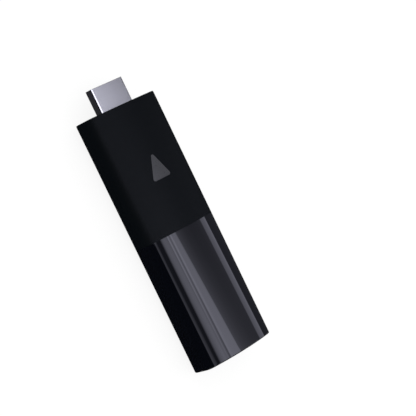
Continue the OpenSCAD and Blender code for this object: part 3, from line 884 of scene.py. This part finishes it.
# Everything is lit by an even sky, but what mirrors it sees a dark studio instead. The studio
# glows towards both ends of the stick, in bands, and faintly low on its right.
DAYLIGHT = 1.08
sky = Shading(world.node_tree)
backdrop = sky.tree.nodes["Background"].inputs
reflected = sky.node("ShaderNodeLightPath", {}, {}, "Is Glossy Ray")
aim = sky.node("ShaderNodeTexCoord", {}, {}, "Generated")
sideward, endward, upward = [sky.node("ShaderNodeSeparateXYZ", {}, {"Vector": aim}, axis)
                             for axis in "XYZ"]
breadth = sideward * sideward
ends = sky.smooth(endward * endward, 0.12, 0.55)
bands = sky.smooth(breadth, 0.25, 0.29) * sky.smooth(0.95 - breadth, 0, 0.4)
below_right = sky.smooth(sideward, 0.1, 0.6) * sky.smooth(-1 * upward, -0.05, 0.3)
end_glow = ends * (0.35 + 0.9 * bands * sky.smooth(upward, -0.1, 0.3))
side_glow = 0.16 * below_right * (1 - ends)
sky.fill(backdrop["Strength"], DAYLIGHT * (1 - reflected) + reflected * (0.01 + end_glow + side_glow))
sky.fill(backdrop["Color"], (1, 1, 1))

PANEL_DISTANCE = 700 * MM
PANEL_ROWS = 6
BRIGHTEST = 4.0
PANEL_COLOUR = (0.96, 0.96, 1.17)


def light_panel(name, near, far, columns, beyond=0):
    """A glowing panel round the stick that shows only as a reflection, from near to far along
    it and then on, unchanged, for the length beyond. Each column has its angle from straight up
    towards the right side, in degrees, at near and at far, and then its brightness there."""
    points, glows, faces = [], [], []
    rows = [(k / PANEL_ROWS, near + (far - near) * k / PANEL_ROWS) for k in range(PANEL_ROWS + 1)]
    rows.append((1, far + math.copysign(beyond, far - near)))
    for share, y in rows:
        for near_angle, far_angle, near_glow, far_glow in columns:
            turn = math.radians(near_angle + (far_angle - near_angle) * share)
            points.append((PANEL_DISTANCE * math.sin(turn), y, seam_z + PANEL_DISTANCE * math.cos(turn)))
            glows.append(near_glow + (far_glow - near_glow) * share)
    count = len(columns)
    for row in range(len(rows) - 1):
        for first in range(row * count, row * count + count - 1):
            faces.append((first, first + 1, first + count + 1, first + count))
    data = bpy.data.meshes.new(name)
    data.from_pydata(points, [], faces)
    shade = data.attributes.new("glow", "FLOAT", "POINT")
    shade.data.foreach_set("value", glows)
    panel = bpy.data.objects.new(name, data)
    bpy.context.scene.collection.objects.link(panel)
    cloth = Finish(name + "_cloth", Base_Color=(0, 0, 0), Roughness=1.0, Specular_IOR_Level=0.0,
                   Emission_Strength=BRIGHTEST)
    glow = cloth.node("ShaderNodeAttribute", {"attribute_name": "glow"}, {}, "Fac")
    cloth.set("Emission Color", cloth.colour(1 / BRIGHTEST * glow, (0, 0, 0), PANEL_COLOUR))
    data.materials.append(cloth.material)
    panel.visible_camera = False
    panel.visible_diffuse = False
    panel.visible_shadow = False


light_panel("key_panel", -45 * MM, -160 * MM, [
    (-20.0, -10.0, 0.10, 0.10), (-14.0, -6.0, 0.75, 0.60), (-7.0, -3.0, 0.85, 0.90),
    (-2.6, 0.2, 0.55, 0.60), (-1.2, 1.6, 0.14, 0.14), (2.9, 3.6, 0.12, 0.12),
    (4.9, 5.6, 1.75, 1.55), (7.2, 8.6, 2.10, 2.20), (9.9, 11.0, 1.95, 2.50),
    (10.4, 13.5, 1.60, 2.10), (11.5, 14.1, 3.60, 2.50), (13.4, 16.7, 1.60, 1.00),
    (15.1, 18.0, 3.60, 3.20), (16.5, 20.8, 2.45, 2.90), (19.6, 27.5, 2.50, 2.70),
    (21.0, 29.4, 1.90, 2.60), (21.4, 30.3, 0.90, 1.10), (26.0, 34.0, 0.62, 0.86),
    (31.0, 39.7, 0.42, 0.66), (39.0, 47.7, 0.32, 0.48), (48.0, 53.0, 0.32, 0.42),
    (54.2, 57.9, 0.40, 0.38), (55.2, 59.2, 1.35, 1.30), (59.6, 63.2, 1.60, 1.50),
    (61.8, 65.6, 1.95, 1.75), (62.4, 66.3, 0.20, 0.17), (85.0, 86.0, 0.22, 0.20)], beyond=250 * MM)
light_panel("plug_panel", 45 * MM, 100 * MM, [
    (-62.0, -62.0, 0.1, 0.1), (-60.0, -60.0, 2.2, 2.2), (14.0, 14.0, 2.2, 2.2),
    (18.0, 18.0, 1.3, 1.3), (31.0, 31.0, 1.35, 1.35), (39.0, 39.0, 0.03, 0.03)])
light_panel("low_panel", 55 * MM, 95 * MM, [
    (-170.0, -170.0, 0.0, 0.0), (-155.0, -155.0, 0.035, 0.035), (-135.0, -135.0, 0.035, 0.035),
    (-125.0, -125.0, 0.0, 0.0)])
light_panel("top_panel", -46 * MM, 45 * MM, [
    (-40.0, -40.0, 0.1, 0.1), (-34.0, -34.0, 1.1, 1.1), (-1.0, -1.0, 1.7, 1.7), (0.4, 0.4, 0.14, 0.14),
    (3.5, 3.5, 0.12, 0.12), (5.7, 5.7, 0.6, 0.4), (20.5, 20.5, 0.6, 0.4), (21.4, 21.4, 0.2, 0.15),
    (54.2, 54.2, 0.25, 0.25), (55.2, 55.2, 0.7, 0.5), (61.8, 61.8, 0.8, 0.5), (62.4, 62.4, 0.1, 0.1)])
light_panel("right_panel", -35 * MM, 100 * MM, [
    (62.0, 62.0, 0.1, 0.1), (63.0, 63.0, 0.6, 0.6), (80.0, 80.0, 0.4, 0.4), (84.0, 84.0, 0.1, 0.1)])

# ---------------------------------------------------------------------------------------
# Camera. It stands well back on a long lens and looks at the stick from above its left side.
# It is rolled so that the stick leans in the view, with the plug at the upper left.
# ---------------------------------------------------------------------------------------
AIM = Vector((17.3 * MM, -3.0 * MM, seam_z))
DISTANCE = 530 * MM
BEARING, HEIGHT, ROLL = math.radians(-95.4), math.radians(52.7), math.radians(68.6)
lens = bpy.data.cameras.new("camera")
lens.sensor_width, lens.lens = 36, 132.3
camera = bpy.data.objects.new("camera", lens)
bpy.context.scene.collection.objects.link(camera)
level = math.cos(HEIGHT) * Vector((math.sin(BEARING), -math.cos(BEARING), 0))
back = level + Vector((0, 0, math.sin(HEIGHT)))
camera.location = AIM + DISTANCE * back
camera.rotation_mode = "QUATERNION"
camera.rotation_quaternion = (-back).to_track_quat("-Z", "Y") @ Quaternion((0, 0, 1), ROLL)
bpy.context.scene.camera = camera
bpy.context.scene.view_settings.view_transform = "Standard"
